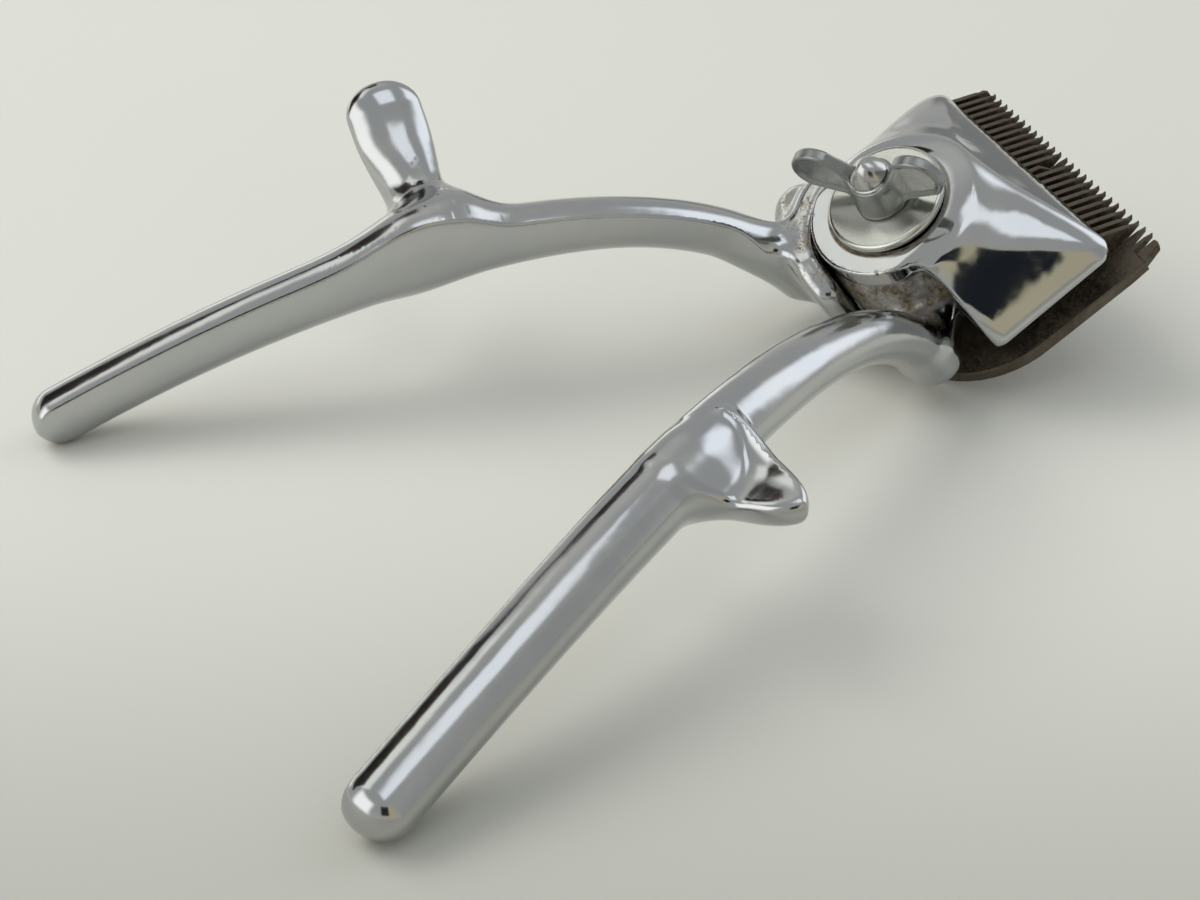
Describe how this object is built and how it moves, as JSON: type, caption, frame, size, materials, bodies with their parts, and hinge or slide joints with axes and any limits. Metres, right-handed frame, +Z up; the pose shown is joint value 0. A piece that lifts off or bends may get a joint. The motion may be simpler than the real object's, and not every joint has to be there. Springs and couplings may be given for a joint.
{
  "type": "hand-squeezed hair clipper",
  "caption": "Hand-squeezed hair clipper: two curved handles work a toothed cutter across a fixed comb under a cap, with a spring to open them and a wing nut to set the tension.",
  "frame": {"origin": "centre of the bounding box, on the surface that the clipper rests on", "axes": "+X towards the comb teeth, +Y towards the thumb tang, +Z up; the clipper rests on the heel of its comb and on both handle ends"},
  "size_m": [0.1479, 0.1074, 0.0375],
  "materials": {
    "chrome": "polished, with fine wear and grime in the seams",
    "nickel": "dull nickel plate",
    "rusted_steel": "brown, stained and rusted",
    "dark_steel": "turned",
    "spring_steel": "drawn wire, oiled",
    "brass": "turned"
  },
  "bodies": {
    "clipper_body": {"thumb_handle": "chrome", "comb_plate": "rusted_steel", "comb_screws": "dark_steel", "comb_dowels": "dark_steel", "pivot_stud": "chrome", "stop_pin": "dark_steel", "spring_post": "dark_steel", "lower_washer": "brass", "return_spring": "spring_steel", "dust_washer": "dark_steel", "cap": "chrome", "cap_dowel": "dark_steel", "tension_washer": "nickel"},
    "finger_handle": {"finger_handle": "chrome", "hub_bush": "brass", "drive_pin": "dark_steel", "drive_roller": "dark_steel"},
    "cutter": {"cutter_plate": "rusted_steel"},
    "wing_nut": {"wing_nut": "nickel"}
  },
  "joints": [
    {"name": "finger_handle_swing", "type": "hinge", "parent": "clipper_body", "child": "finger_handle", "pos_m": [0.04818, 0.01126, 0.01753], "axis": [0.6166, 0.1001, -0.7809], "range_deg": [0, 18], "stiffness_Nm_per_rad": 0.6, "springref_deg": -20.05, "deforming": ["return_spring"]},
    {"name": "cutter_slide", "type": "slide", "parent": "clipper_body", "child": "cutter", "axis": [0, -0.9919, -0.1272], "range_m": [0, 0.0045]},
    {"name": "wing_nut_turn", "type": "hinge", "parent": "clipper_body", "child": "wing_nut", "pos_m": [0.04041, 0.01, 0.02737], "axis": [-0.6166, -0.1001, 0.7809], "continuous": true}
  ],
  "couplings": [
    {"joint": "cutter_slide", "follows": "finger_handle_swing", "m_per_rad": 0.013942}
  ]
}
